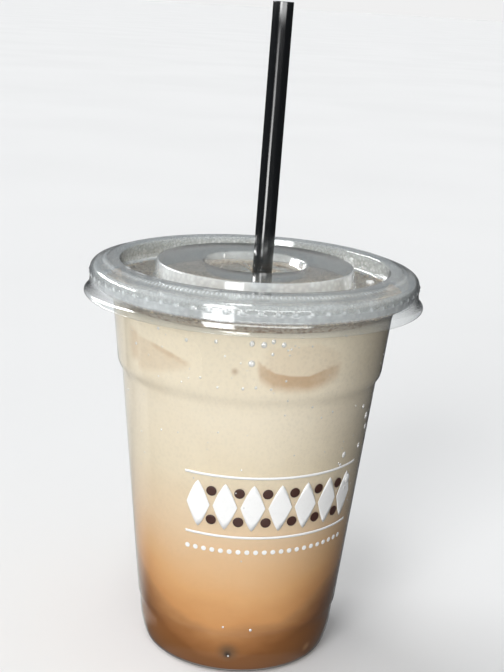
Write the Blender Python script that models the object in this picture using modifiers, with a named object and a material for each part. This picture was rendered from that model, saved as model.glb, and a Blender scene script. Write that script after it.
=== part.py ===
"""An iced coffee in a clear lidded cup, with a black straw. Metres, +Z up, the cup's foot at Z = 0."""

import math

import bmesh
import bpy

MM = 0.001
GAP = 0.3 * MM  # between pieces that touch
AROUND = 56  # facets round each turned piece

# Cup: a thin clear sheet, its sizes taken on the outer face
CUP_SHEET = 0.5 * MM
PUNT_HEIGHT = 2.4 * MM
PUNT_DOME = 0.5 * MM  # how much higher the punt is at its centre than at its edge
PUNT_RADIUS = 24.4 * MM
FOOT_INNER = 25.6 * MM
FOOT_OUTER = 27.5 * MM
HEEL_RADIUS = 30.9 * MM
HEEL_HEIGHT = 11.5 * MM
RING_HEIGHT = 15.0 * MM
RING_RADIUS = 31.6 * MM
WALL_TAPER = 0.101  # radius gained for each unit of height
STEP_HEIGHT = 89.4 * MM
STEP_RISE = 2.8 * MM
STEP_WIDTH = 1.2 * MM
NECK_HEIGHT = 108.2 * MM
FLARE_BEND = 112.6 * MM  # the wall's own line would reach this height where the flare's slope meets it
FLARE_HEIGHT = 114.3 * MM
FLARE_RADIUS = 47.3 * MM
RIM_RADIUS = 48.8 * MM
RIM_FOOT = 115.2 * MM
RIM_TOP = 120.3 * MM
RIM_SKIRT = 115.8 * MM  # the lower edge of the rolled rim
RIM_ROLL = 0.85 * MM

# Lid: a thin clear sheet, its sizes taken on the upper face
LID_SHEET = 0.4 * MM
RECESS_FLOOR = 119.1 * MM
RECESS_RADIUS = 15.6 * MM
PLATEAU_HEIGHT = 122.2 * MM
PLATEAU_RADIUS = 29.75 * MM
CHANNEL_FLOOR = 116.7 * MM
CHANNEL_OUTER = 40.6 * MM
CHANNEL_DRAFT = 0.8 * MM  # how much each channel wall leans over its height
EDGE = 0.45 * MM  # the softened edges of the plateau and the channel
SHOULDER_RADIUS = 44.2 * MM
CREST_RADIUS = 46.3 * MM
CREST_HEIGHT = 121.3 * MM
BEAD_RADIUS = 49.6 * MM
BEAD_ROUNDING = 1.5 * MM
BEAD_FOOT = 116.0 * MM
LIP_RADIUS = 51.2 * MM
LIP_HEIGHT = 112.3 * MM
SLIT_LENGTH = 19.0 * MM
SLIT_WIDTH = 0.6 * MM
SLIT_TURN = math.radians(12.0)
SLIT_DEPTH = 4.0 * MM

# Straw: it stands on the cup's floor at the axis and leans a little towards +X
STRAW_RADIUS = 3.0 * MM
STRAW_SHEET = 0.4 * MM
STRAW_LEAN = math.radians(1.07)
STRAW_LENGTH = 194.6 * MM
STRAW_FOOT = 0.4 * MM  # above the cup's floor, measured along the straw
STRAW_FACETS = 20
STRAW_WAY = (-10.0 * MM, 130.0 * MM)  # how far the way that is cut for the straw runs, from the cup's floor

# Drink, with a layer of froth and brown bubbles on it that shows through the flare
FROTH_TOP = 114.2 * MM
FROTH_BOTTOM = 111.4 * MM


def clear_scene():
    for ob in list(bpy.data.objects):
        bpy.data.objects.remove(ob, do_unlink=True)


def new_collection(name):
    collection = bpy.data.collections.new(name)
    bpy.context.scene.collection.children.link(collection)
    return collection


def new_material(name, color, roughness, alpha=1.0):
    material = bpy.data.materials.new(name)
    material.use_nodes = True
    shader = material.node_tree.nodes["Principled BSDF"]
    shader.inputs["Base Color"].default_value = (*color, 1.0)
    shader.inputs["Roughness"].default_value = roughness
    shader.inputs["Metallic"].default_value = 0.0
    shader.inputs["Alpha"].default_value = alpha
    material.diffuse_color = (*color, 1.0)
    return material


def arc(center, radius, start, end, steps):
    """Points on a circle in the profile plane, from one angle to another in degrees."""
    angles = [math.radians(start + (end - start) * i / steps) for i in range(steps + 1)]
    return [(center[0] + radius * math.cos(a), center[1] + radius * math.sin(a)) for a in angles]


def bend(start, corner, end, steps):
    """Points on a smooth curve from start to end that leaves and arrives along the lines to corner."""
    points = []
    for i in range(steps + 1):
        t = i / steps
        share = ((1 - t) ** 2, 2 * t * (1 - t), t * t)
        points.append(tuple(sum(w * p[k] for w, p in zip(share, (start, corner, end))) for k in (0, 1)))
    return points


def offset(line, distance):
    """A profile line moved to its left by distance; a point on the axis stays on it."""
    moved = []
    for i, (x, z) in enumerate(line):
        before = line[max(i - 1, 0)]
        after = line[min(i + 1, len(line) - 1)]
        runs = []
        for (ax, az), (bx, bz) in ((before, (x, z)), ((x, z), after)):
            length = math.hypot(bx - ax, bz - az)
            if length > 0:
                runs.append((-(bz - az) / length, (bx - ax) / length))
        nx = sum(n[0] for n in runs) / len(runs)
        nz = sum(n[1] for n in runs) / len(runs)
        scale = distance / (nx * nx + nz * nz)
        moved.append((0.0 if x == 0.0 else x + nx * scale, z + nz * scale))
    return moved


def turned(name, profile, material, collection, facets=AROUND):
    """A profile turned about Z. It runs clockwise: outwards on top, down the outer side, back below."""
    mesh = bpy.data.meshes.new(name)
    edges = [(i, i + 1) for i in range(len(profile) - 1)]
    mesh.from_pydata([(x, 0.0, z) for x, z in profile], edges, [])
    ob = bpy.data.objects.new(name, mesh)
    collection.objects.link(ob)
    screw = ob.modifiers.new("Turn", "SCREW")
    screw.axis = "Z"
    screw.steps = facets
    screw.render_steps = facets
    screw.use_merge_vertices = True
    screw.merge_threshold = 0.000001
    screw.use_smooth_shade = True
    if material is not None:
        mesh.materials.append(material)
    return ob


def make_straw_way(cutters):
    """A closed rod along the straw that cuts its way through the lid, the froth and the drink."""
    radius = STRAW_RADIUS + GAP
    low, high = STRAW_WAY
    rod = [(0.0, high), (radius, high), (radius, low), (0.0, low)]
    way = turned("straw way", rod, None, cutters, STRAW_FACETS)
    place_on_straw(way)
    hide_cutter(way)
    return way


def place_on_straw(ob):
    """Sets an object that was made about Z on the straw's axis."""
    ob.rotation_euler = (0.0, STRAW_LEAN, 0.0)
    ob.location = (0.0, 0.0, cup_floor())


def hide_cutter(ob):
    ob.hide_render = True
    ob.display_type = "WIRE"


def cut(ob, cutter):
    boolean = ob.modifiers.new("Cut " + cutter.name, "BOOLEAN")
    boolean.operation = "DIFFERENCE"
    boolean.object = cutter


def cup_floor():
    """The height of the cup's inner floor at the axis."""
    return PUNT_HEIGHT + PUNT_DOME + CUP_SHEET


def cup_outer_line():
    """The cup's outer face: from the punt's centre out to the foot, up the wall, over the rolled rim."""
    step_low = RING_RADIUS + WALL_TAPER * (STEP_HEIGHT - RING_HEIGHT)
    step_high = step_low + STEP_WIDTH
    neck_low = step_high + WALL_TAPER * STEP_RISE
    neck_radius = neck_low + WALL_TAPER * (NECK_HEIGHT - STEP_HEIGHT - STEP_RISE)
    base = [
        (0.0, PUNT_HEIGHT + PUNT_DOME),
        (PUNT_RADIUS, PUNT_HEIGHT),
        (FOOT_INNER, 0.0),
        (FOOT_OUTER, 0.0),
    ]
    heel = [
        (FOOT_OUTER + 1.2 * MM, 0.9 * MM),
        (FOOT_OUTER + 2.1 * MM, 3.4 * MM),
        (HEEL_RADIUS - 0.4 * MM, 7.2 * MM),
        (HEEL_RADIUS, HEEL_HEIGHT),
        (HEEL_RADIUS + 0.1 * MM, RING_HEIGHT - 0.8 * MM),
        (RING_RADIUS, RING_HEIGHT),
    ]
    step = [
        (step_low, STEP_HEIGHT),
        (step_high, STEP_HEIGHT + 1.0 * MM),
        (neck_low, STEP_HEIGHT + STEP_RISE),
    ]
    corner = (neck_radius + WALL_TAPER * (FLARE_BEND - NECK_HEIGHT), FLARE_BEND)
    flare = bend((neck_radius, NECK_HEIGHT), corner, (FLARE_RADIUS, FLARE_HEIGHT), 4)
    roll = RIM_RADIUS - RIM_ROLL, RIM_TOP - RIM_ROLL
    hollow = RIM_ROLL - CUP_SHEET
    rim = [(roll[0] - hollow, RIM_FOOT)] + arc(roll, hollow, 180, 0, 3) + [(roll[0] + hollow, RIM_SKIRT)]
    return base + heel + step + flare + rim


def cup_profile():
    outer = cup_outer_line()
    return offset(outer, CUP_SHEET) + outer[::-1]


def lid_upper_line():
    """The lid's upper face: from its centre out over the plateau, the channel and the bead to the lip."""
    recess = [
        (0.0, RECESS_FLOOR),
        (RECESS_RADIUS - 1.1 * MM, RECESS_FLOOR),
        (RECESS_RADIUS - 0.6 * MM, RECESS_FLOOR + EDGE),
        (RECESS_RADIUS, PLATEAU_HEIGHT - EDGE),
        (RECESS_RADIUS + EDGE, PLATEAU_HEIGHT),
    ]
    plateau = [
        (PLATEAU_RADIUS - EDGE, PLATEAU_HEIGHT),
        (PLATEAU_RADIUS, PLATEAU_HEIGHT - EDGE),
        (PLATEAU_RADIUS + CHANNEL_DRAFT, CHANNEL_FLOOR + EDGE),
        (PLATEAU_RADIUS + CHANNEL_DRAFT + EDGE, CHANNEL_FLOOR),
    ]
    channel = [
        (CHANNEL_OUTER - CHANNEL_DRAFT - EDGE, CHANNEL_FLOOR),
        (CHANNEL_OUTER - CHANNEL_DRAFT, CHANNEL_FLOOR + EDGE),
        (CHANNEL_OUTER, PLATEAU_HEIGHT - EDGE),
        (CHANNEL_OUTER + EDGE, PLATEAU_HEIGHT),
    ]
    shoulder = [(SHOULDER_RADIUS, PLATEAU_HEIGHT), (CREST_RADIUS, CREST_HEIGHT)]
    bead_center = BEAD_RADIUS - BEAD_ROUNDING, CREST_HEIGHT - 0.2 * MM - BEAD_ROUNDING
    bead = arc(bead_center, BEAD_ROUNDING, 90, 0, 3) + [(BEAD_RADIUS, BEAD_FOOT)]
    skirt = [
        (BEAD_RADIUS + 0.5 * MM, 0.5 * (BEAD_FOOT + LIP_HEIGHT) + 0.2 * MM),
        (LIP_RADIUS, LIP_HEIGHT),
    ]
    return recess + plateau + channel + shoulder + bead + skirt


def lid_profile():
    upper = lid_upper_line()
    return upper + offset(upper, -LID_SHEET)[::-1]


def make_cup(collection):
    clear = new_material("clear cup plastic", (0.93, 0.95, 0.95), 0.06, 0.3)
    return turned("cup", cup_profile(), clear, collection)


def make_slit(name, turn, cutters):
    """A thin box that cuts one of the crossed slits in the lid's recess."""
    mesh = bpy.data.meshes.new(name)
    build = bmesh.new()
    bmesh.ops.create_cube(build, size=1.0)
    bmesh.ops.scale(build, vec=(SLIT_LENGTH, SLIT_WIDTH, SLIT_DEPTH), verts=build.verts)
    build.to_mesh(mesh)
    build.free()
    slit = bpy.data.objects.new(name, mesh)
    cutters.objects.link(slit)
    slit.location = (0.0, 0.0, RECESS_FLOOR)
    slit.rotation_euler = (0.0, 0.0, turn)
    hide_cutter(slit)
    return slit


def make_lid(collection, cutters, straw_way):
    """The flat lid, with the crossed slits in its recess and the hole that the straw has pushed open."""
    clear = new_material("clear lid plastic", (0.80, 0.83, 0.84), 0.10, 0.4)
    lid = turned("lid", lid_profile(), clear, collection)
    cut(lid, straw_way)
    cut(lid, make_slit("slit along", SLIT_TURN, cutters))
    cut(lid, make_slit("slit across", SLIT_TURN + math.pi / 2, cutters))
    return lid


def make_straw(collection):
    """An open tube that stands on the cup's floor."""
    black = new_material("black straw plastic", (0.008, 0.009, 0.010), 0.25)
    outer, inner = STRAW_RADIUS, STRAW_RADIUS - STRAW_SHEET
    low, high = STRAW_FOOT, STRAW_FOOT + STRAW_LENGTH
    wall = [(inner, low), (inner, high), (outer, high), (outer, low), (inner, low)]
    straw = turned("straw", wall, black, collection, STRAW_FACETS)
    place_on_straw(straw)
    return straw


def crossing(line, height):
    """The point where a profile line that rises from the cup's foot first crosses a height."""
    for (ax, az), (bx, bz) in zip(line, line[1:]):
        if az < height <= bz:
            return (ax + (bx - ax) * (height - az) / (bz - az), height)
    raise ValueError("the line doesn't reach this height")


def filling_profile(low, high):
    """What fills the cup from a height, or from its floor, up to another, clear of the wall."""
    face = offset(cup_outer_line(), CUP_SHEET + GAP)
    below = [(x, z) for x, z in face if z < high]
    if low is None:
        return [(0.0, high), crossing(face, high)] + below[::-1]
    wall = [(x, z) for x, z in below if z > low]
    return [(0.0, high), crossing(face, high)] + wall[::-1] + [crossing(face, low), (0.0, low)]


def make_drink(collection, straw_way):
    """The milky coffee with its darker foot, cut round the straw."""
    latte = new_material("latte", (0.80, 0.66, 0.48), 0.30)
    drink = turned("drink", filling_profile(None, FROTH_BOTTOM - GAP), latte, collection)
    cut(drink, straw_way)
    return drink


def make_froth(collection, straw_way):
    """The brown bubbles that lie on the drink, from wall to wall."""
    bubbles = new_material("brown froth", (0.30, 0.21, 0.14), 0.45)
    froth = turned("froth", filling_profile(FROTH_BOTTOM, FROTH_TOP), bubbles, collection)
    cut(froth, straw_way)
    return froth


def build():
    clear_scene()
    parts = new_collection("iced coffee")
    cutters = new_collection("cutters")
    straw_way = make_straw_way(cutters)
    make_cup(parts)
    make_lid(parts, cutters, straw_way)
    make_straw(parts)
    make_drink(parts, straw_way)
    make_froth(parts, straw_way)


build()
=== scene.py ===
"""Looks of an iced coffee in a clear lidded cup, with a black straw.

Metres, +Z up, the cup's foot at Z = 0 and -Y towards the camera. Azimuths are degrees round the
cup, 0 at the front and growing towards +X.
"""

import enum
import logging
import math
from collections.abc import Callable, Iterable
from dataclasses import dataclass, field
from typing import Any

import bmesh
import bpy
import numpy as np
from mathutils import Matrix, Vector


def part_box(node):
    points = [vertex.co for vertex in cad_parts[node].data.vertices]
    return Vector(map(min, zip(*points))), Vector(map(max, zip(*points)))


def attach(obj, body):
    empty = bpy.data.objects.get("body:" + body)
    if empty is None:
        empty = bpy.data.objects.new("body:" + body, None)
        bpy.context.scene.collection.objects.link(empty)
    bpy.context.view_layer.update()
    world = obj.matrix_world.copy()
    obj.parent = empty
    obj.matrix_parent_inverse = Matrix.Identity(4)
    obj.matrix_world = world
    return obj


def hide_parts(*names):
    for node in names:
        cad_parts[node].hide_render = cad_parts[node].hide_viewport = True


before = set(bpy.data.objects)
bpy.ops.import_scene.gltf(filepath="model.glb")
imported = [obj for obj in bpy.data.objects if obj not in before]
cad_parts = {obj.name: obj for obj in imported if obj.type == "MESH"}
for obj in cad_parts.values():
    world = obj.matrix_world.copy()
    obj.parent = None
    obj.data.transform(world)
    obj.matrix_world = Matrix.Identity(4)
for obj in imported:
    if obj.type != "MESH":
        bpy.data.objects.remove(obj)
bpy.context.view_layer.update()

LOG = logging.getLogger("iced coffee")
MM = 0.001
BODY = "root"
MIST = "mist"  # mesh attribute: the share of a clear sheet that mist covers
SHADE = "shade"  # mesh attribute: how much brown shadow shows on ice
AXIS = 0.0001 * MM  # points nearer to the axis than this are on it

Point = tuple[float, float]  # radius and height
Line = list[Point]
Colour = tuple[float, float, float]
Scales = tuple[float, float, float]
Faces = list[tuple[int, ...]]
Socket = bpy.types.NodeSocket
Value = Socket | float


def linear(level: int) -> float:
    """A screen level from 0 to 255 as linear light from 0 to 1."""
    return level / 255 / 12.92 if level <= 10 else ((level / 255 + 0.055) / 1.055) ** 2.4


def tone(red: int, green: int, blue: int) -> Colour:
    """A screen colour from 0 to 255 as the linear colour that a shader takes."""
    return (linear(red), linear(green), linear(blue))


def arc(centre: Point, radius: float, start: float, end: float, steps: int) -> Line:
    """Points on a circle in the profile plane.

    Args:
        centre: the circle's centre, as radius and height.
        radius: the circle's radius.
        start: the first point's angle in degrees.
        end: the last point's angle in degrees.
        steps: how many chords the arc gets.

    Returns:
        The points from start to end, both included.
    """
    angles = np.radians(np.linspace(start, end, steps + 1))
    return [(centre[0] + radius * math.cos(a), centre[1] + radius * math.sin(a)) for a in angles]


def bend(start: Point, corner: Point, end: Point, steps: int) -> Line:
    """Points on a smooth curve that leaves start and reaches end along the lines to corner.

    Args:
        start: the curve's first point.
        corner: where the two end directions meet.
        end: the curve's last point.
        steps: how many chords the curve gets.

    Returns:
        The points from start to end, both included.
    """
    points = []
    for i in range(steps + 1):
        t = i / steps
        share = ((1 - t) ** 2, 2 * t * (1 - t), t * t)
        points.append(tuple(sum(w * p[k] for w, p in zip(share, (start, corner, end))) for k in (0, 1)))
    return points


def softened(corners: list[tuple[float, float, float]], steps: int = 4) -> Line:
    """A profile line whose corners are rounded.

    Args:
        corners: radius, height and softness of each corner; softness is how far from the corner
            its curve starts, and 0 keeps the corner sharp.
        steps: how many chords each rounded corner gets.

    Returns:
        The line with its rounded corners.
    """
    line: Line = [corners[0][:2]]
    for before, here, after in zip(corners, corners[1:], corners[2:]):
        x, z, soft = here
        if soft == 0:
            line.append((x, z))
            continue
        ends = []
        for other in (before, after):
            run = math.hypot(other[0] - x, other[1] - z)
            share = min(soft / run, 0.49)
            ends.append((x + (other[0] - x) * share, z + (other[1] - z) * share))
        line += bend(ends[0], (x, z), ends[1], steps)
    line.append(corners[-1][:2])
    return line


def offset(line: Line, distance: float) -> Line:
    """A profile line moved sideways.

    Args:
        line: the line's points; a point on the axis stays on it.
        distance: how far to the left of its direction the line moves.

    Returns:
        The moved line, with as many points.
    """
    moved = []
    for i, (x, z) in enumerate(line):
        before, after = line[max(i - 1, 0)], line[min(i + 1, len(line) - 1)]
        runs = []
        for (ax, az), (bx, bz) in ((before, (x, z)), ((x, z), after)):
            length = math.hypot(bx - ax, bz - az)
            if length > 0:
                runs.append((-(bz - az) / length, (bx - ax) / length))
        nx = sum(n[0] for n in runs) / len(runs)
        nz = sum(n[1] for n in runs) / len(runs)
        scale = distance / (nx * nx + nz * nz)
        moved.append((0.0 if x == 0.0 else x + nx * scale, z + nz * scale))
    return moved


def upto(line: Line, low: float, high: float) -> Line:
    """The stretch of a rising profile line between two heights.

    Args:
        line: a line that starts at the bottom; what follows its first crossing of high is dropped.
        low: the lower height, or less than the line's lowest point to keep its start.
        high: the upper height.

    Returns:
        The points in between, with a point on each height that the line crosses.
    """
    kept: Line = []
    for (ax, az), (bx, bz) in zip(line, line[1:]):
        if not kept and az >= low and az < high:
            kept.append((ax, az))
        if az < low <= bz:
            kept.append((ax + (bx - ax) * (low - az) / (bz - az), low))
        if az < high <= bz:
            kept.append((ax + (bx - ax) * (high - az) / (bz - az), high))
            return kept
        if kept:
            kept.append((bx, bz))
    raise ValueError("the line doesn't reach the upper height")


Relief = Callable[[np.ndarray, np.ndarray], np.ndarray]


@dataclass
class Band:
    """A stretch of a turned face."""

    line: Line
    steps: int
    relief: Relief | None = None  # how far each point moves outwards from its place
    mist: list[float] | None = None  # for each point of the line, the share that mist covers
    raised_mist: float = 0.0  # how much that share grows for each metre that the relief lifts a point


@dataclass
class Lathe:
    """Turns bands of profile points into one mesh. Profiles run clockwise, outwards on top.

    The mesh is closed, but for a single line that starts on the axis and ends away from it.
    """

    bands: list[Band]
    points: list[np.ndarray] = field(default_factory=list)
    mist: list[np.ndarray] = field(default_factory=list)
    faces: Faces = field(default_factory=list)
    rings: list[tuple[int, int]] = field(default_factory=list)

    def add_ring(self, band: Band, index: int) -> None:
        """Adds one ring of points, or a single point on the axis.

        Args:
            band: the band that it belongs to.
            index: the number of its point in the band's line.
        """
        x, z = band.line[index]
        steps = 1 if x < AXIS else band.steps
        angle = np.arange(steps) * (2 * math.pi / steps)
        height = np.full(steps, z)
        radius = np.full(steps, x)
        mist = np.full(steps, band.mist[index] if band.mist else 0.0)
        if band.relief is not None:
            lift = band.relief(angle, height)
            radius = radius + lift
            mist = mist + lift * band.raised_mist
        self.rings.append((sum(len(p) for p in self.points), steps))
        self.points.append(np.stack([radius * np.cos(angle), radius * np.sin(angle), height], 1))
        self.mist.append(mist)

    def bridge(self, inner: tuple[int, int], outer: tuple[int, int]) -> None:
        """Joins one ring to the next with faces, also where they have unlike numbers of points.

        Args:
            inner: first index and number of points of the earlier ring.
            outer: the same of the later ring.
        """
        a, na = inner
        b, nb = outer
        if na == nb:
            for k in range(na):
                n = (k + 1) % na
                self.faces.append((a + k, b + k, b + n, a + n))
            return
        i = j = 0
        while i < na or j < nb:
            step_inner = na > 1 and i < na and (j >= nb or nb == 1 or (i + 1) / na <= (j + 1) / nb)
            if step_inner:
                self.faces.append((a + i % na, b + j % nb, a + (i + 1) % na))
                i += 1
            elif nb > 1 and j < nb:
                self.faces.append((a + i % na, b + j % nb, b + (j + 1) % nb))
                j += 1
            else:
                break

    def turn(self, name: str) -> bpy.types.Object:
        """Makes the object.

        Args:
            name: the object's name.

        Returns:
            The turned object, smooth, with its mist as a mesh attribute.
        """
        for band in self.bands:
            for index in range(len(band.line)):
                self.add_ring(band, index)
        for inner, outer in zip(self.rings, self.rings[1:]):
            self.bridge(inner, outer)
        if self.rings[0][1] > 1:
            self.bridge(self.rings[-1], self.rings[0])
        turned = mesh_object(name, np.concatenate(self.points), self.faces)
        write_values(turned, MIST, np.concatenate(self.mist))
        return turned


def mesh_object(name: str, points: np.ndarray, faces: Iterable[tuple[int, ...]]) -> bpy.types.Object:
    """Makes a smooth object of points and faces.

    Args:
        name: the object's name.
        points: one row of three coordinates for each point.
        faces: the point numbers of each face, anticlockwise from outside.

    Returns:
        The object, linked to the scene.
    """
    mesh = bpy.data.meshes.new(name)
    mesh.from_pydata(points.tolist(), [], [tuple(int(i) for i in f) for f in faces])
    mesh.validate()
    mesh.shade_smooth()
    ob = bpy.data.objects.new(name, mesh)
    bpy.context.scene.collection.objects.link(ob)
    return ob


def write_values(ob: bpy.types.Object, name: str, values: np.ndarray) -> None:
    """Keeps one number for each point of a mesh, for its finish to read."""
    layer = ob.data.attributes.new(name, "FLOAT", "POINT")
    layer.data.foreach_set("value", values.astype(np.float32))


def apply_modifiers(ob: bpy.types.Object) -> None:
    """Makes what an object's modifiers give its own mesh.

    Args:
        ob: the object.
    """
    evaluated = ob.evaluated_get(bpy.context.evaluated_depsgraph_get())
    mesh = bpy.data.meshes.new_from_object(evaluated)
    ob.modifiers.clear()
    ob.data = mesh


def cut(ob: bpy.types.Object, cutters: list[bpy.types.Object]) -> None:
    """Takes closed shapes out of an object, and removes them.

    Args:
        ob: the object that is cut.
        cutters: the shapes to take out.
    """
    for cutter in cutters:
        boolean = ob.modifiers.new("cut", "BOOLEAN")
        boolean.operation = "DIFFERENCE"
        boolean.object = cutter
    apply_modifiers(ob)
    for cutter in cutters:
        bpy.data.objects.remove(cutter, do_unlink=True)


class Slot(enum.Enum):
    """The record's material slots."""

    CUP = "cup"
    LID = "lid"
    STRAW = "straw"
    DRINK = "drink"
    FROTH = "froth"


def add_piece(
    ob: bpy.types.Object,
    material: bpy.types.Material,
    stands_for: str | None = None,
) -> bpy.types.Object:
    """Gives a piece its finish and its place in the frame, and reports it.

    Args:
        ob: the piece.
        material: its finish.
        stands_for: the frame's node that the piece replaces, if any.

    Returns:
        The piece.
    """
    ob.data.materials.clear()
    ob.data.materials.append(material)
    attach(ob, BODY)
    if stands_for is not None:
        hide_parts(stands_for)
    LOG.info("%s: %d faces, stands for %s", ob.name, len(ob.data.polygons), stands_for)
    return ob


class Graph:
    """Adds shader nodes to a tree. A value given for an input is either a socket to link or a constant."""

    def __init__(self, tree: bpy.types.NodeTree) -> None:
        """Starts with an empty tree."""
        self.tree = tree
        self.tree.nodes.clear()

    def node(self, kind: str, inputs: dict[str | int, Any] | None = None, **settings: Any) -> bpy.types.Node:
        """Adds one node. An input whose value is None keeps its own.

        Args:
            kind: the node's type.
            inputs: what goes into its inputs, by their names or numbers.
            **settings: the node's own settings.

        Returns:
            The node.
        """
        made = self.tree.nodes.new(kind)
        for name, value in settings.items():
            setattr(made, name, value)
        for key, value in (inputs or {}).items():
            if isinstance(value, Socket):
                self.tree.links.new(value, made.inputs[key])
            elif value is not None:
                made.inputs[key].default_value = value
        return made

    def math(self, operation: str, *values: Value, clamp: bool = False) -> Socket:
        """Works out one sum.

        Args:
            operation: the Math node's operation.
            *values: sockets or numbers, in the operation's order.
            clamp: keeps the result between 0 and 1.

        Returns:
            The result's socket.
        """
        made = self.node("ShaderNodeMath", dict(enumerate(values)), operation=operation, use_clamp=clamp)
        return made.outputs[0]

    def place(self) -> Socket:
        """The point's place in the frame, in metres."""
        return self.node("ShaderNodeTexCoord").outputs["Object"]

    def attribute(self, name: str) -> Socket:
        """A number that the mesh carries for each point."""
        return self.node("ShaderNodeAttribute", attribute_name=name).outputs["Fac"]

    def axes(self, vector: Socket) -> tuple[Socket, ...]:
        """The three coordinates of a vector."""
        return tuple(self.node("ShaderNodeSeparateXYZ", {0: vector}).outputs)

    def noise(
        self, size: float, detail: float = 2.0, rough: float = 0.5, stretch: Scales = (1, 1, 1)
    ) -> Socket:
        """Soft random patches.

        Args:
            size: how large the patches are, in metres.
            detail: how many finer layers they have.
            rough: how strong the finer layers are.
            stretch: scale of each axis, below 1 for patches that are longer that way.

        Returns:
            A socket of values around 0.5.
        """
        mapped = self.node("ShaderNodeMapping", {"Vector": self.place(), "Scale": stretch})
        settings = {"Vector": mapped.outputs[0], "Scale": 1 / size, "Detail": detail, "Roughness": rough}
        return self.node("ShaderNodeTexNoise", settings).outputs["Fac"]

    def cells(self, size: float) -> Socket:
        """Distance to the nearest of randomly placed points, for drops and bubbles about that size."""
        settings = {"Vector": self.place(), "Scale": 1 / size}
        return self.node("ShaderNodeTexVoronoi", settings).outputs["Distance"]

    def span(
        self, value: Value, low: float, high: float, to_low: float = 0.0, to_high: float = 1.0
    ) -> Socket:
        """Turns one range of values smoothly into another.

        Args:
            value: the value's socket.
            low: where the first range starts.
            high: where the first range ends.
            to_low: what low becomes.
            to_high: what high becomes.

        Returns:
            The result's socket.
        """
        settings = {"Value": value, "From Min": low, "From Max": high, "To Min": to_low, "To Max": to_high}
        return self.node("ShaderNodeMapRange", settings, interpolation_type="SMOOTHSTEP").outputs[0]

    def ramp(self, value: Value, stops: list[tuple[float, Colour]]) -> Socket:
        """Colours along a value from 0 to 1.

        Args:
            value: the value's socket.
            stops: places from 0 to 1 with their linear colours.

        Returns:
            The colour's socket.
        """
        made = self.node("ShaderNodeValToRGB", {0: value})
        elements = made.color_ramp.elements
        while len(elements) < len(stops):
            elements.new(0.5)
        for element, (at, colour) in zip(elements, stops):
            element.position = at
            element.color = (*colour, 1.0)
        return made.outputs[0]

    def blend(self, share: Value, first: Colour | Socket, second: Colour | Socket) -> Socket:
        """Mixes two colours.

        Args:
            share: how much of the second, from 0 to 1.
            first: a linear colour or a socket.
            second: a linear colour or a socket.

        Returns:
            The mixed colour's socket.
        """
        colours = [c if isinstance(c, Socket) else (*c, 1.0) for c in (first, second)]
        made = self.node("ShaderNodeMix", {0: share, 6: colours[0], 7: colours[1]}, data_type="RGBA")
        return made.outputs[2]

    def mix(self, share: Value, first: bpy.types.Node, second: bpy.types.Node) -> bpy.types.Node:
        """Mixes two shaders, share being that of the second."""
        return self.node("ShaderNodeMixShader", {0: share, 1: first.outputs[0], 2: second.outputs[0]})

    def bump(self, height: Socket, distance: float, strength: float = 1.0) -> Socket:
        """A normal bent by a height field whose full range is distance, in metres."""
        settings = {"Height": height, "Distance": distance, "Strength": strength}
        return self.node("ShaderNodeBump", settings).outputs[0]

    def mirrored(self, low: float) -> Socket:
        """How much a smooth sheet mirrors, from low where it's seen square to 1 where it's seen flat."""
        facing = self.node("ShaderNodeLayerWeight", {"Blend": 0.5}).outputs["Facing"]
        return self.math("MULTIPLY_ADD", self.math("POWER", facing, 5.0), 1.0 - low, low)

    def finish(self, surface: bpy.types.Node) -> None:
        """Sends a shader to the material's output."""
        self.node("ShaderNodeOutputMaterial", {"Surface": surface.outputs[0]})


def new_material(name: str) -> tuple[bpy.types.Material, Graph]:
    """Starts a material.

    Args:
        name: its name.

    Returns:
        The material, still empty, and the graph of its nodes.
    """
    material = bpy.data.materials.new(name)
    material.use_nodes = True
    return material, Graph(material.node_tree)


@dataclass(frozen=True)
class ClearPlastic:
    """Thin clear sheet: it mirrors more where it's seen flat, mist and drops dull it in patches, and painted
    shade darkens it near its outline.
    """

    name: str
    clear: Colour
    mist_colour: Colour
    patches: float  # how much the mist changes from patch to patch, as a share of itself
    drops: float  # the same for the fine drops in the mist
    drop_size: float
    # painted shade near the outline: its colour, how strong it is, and how close to the outline it starts
    painted_edge_shade_colour: Colour
    edge: float  # how much painted shade darkens the sheet where it's seen flat
    edge_power: float  # how close to its outline that starts, larger being closer
    gloss: float = 0.05
    roughness: float = 0.05
    patch_size: float = 9.0 * MM
    ripple_size: float = 4.0 * MM
    ripple_height: float = 0.02 * MM

    def make(self) -> bpy.types.Material:
        """Builds the material.

        Returns:
            The material.
        """
        material, graph = new_material(self.name)
        patchy = graph.noise(self.patch_size, 3.0, 0.6)
        patch = graph.span(patchy, 0.35, 0.7, 1 - self.patches, 1 + self.patches)
        drops = graph.span(graph.cells(self.drop_size), 0.15, 0.65, 1 + self.drops, 1 - self.drops)
        cover = graph.math("MULTIPLY", graph.attribute(MIST), patch)
        cover = graph.math("MULTIPLY", cover, drops, clamp=True)
        through = graph.node("ShaderNodeBsdfTransparent", {"Color": (*self.clear, 1.0)})
        misted = graph.node("ShaderNodeBsdfDiffuse", {"Color": (*self.mist_colour, 1.0)})
        body = graph.mix(cover, through, misted)
        # Painted shade: a dark colour mixed in where the sheet is seen flat, darkening it near its outline.
        facing = graph.node("ShaderNodeLayerWeight", {"Blend": 0.5}).outputs["Facing"]
        dull = graph.node("ShaderNodeBsdfDiffuse", {"Color": (*self.painted_edge_shade_colour, 1.0)})
        painted_edge_shade = graph.math("MULTIPLY", graph.math("POWER", facing, self.edge_power), self.edge)
        body = graph.mix(painted_edge_shade, body, dull)
        ripple = graph.bump(graph.noise(self.ripple_size, 2.0, 0.5), self.ripple_height)
        settings = {"Color": (1.0, 1.0, 1.0, 1.0), "Roughness": self.roughness, "Normal": ripple}
        mirror = graph.node("ShaderNodeBsdfGlossy", settings)
        graph.finish(graph.mix(graph.mirrored(self.gloss), body, mirror))
        return material


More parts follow.
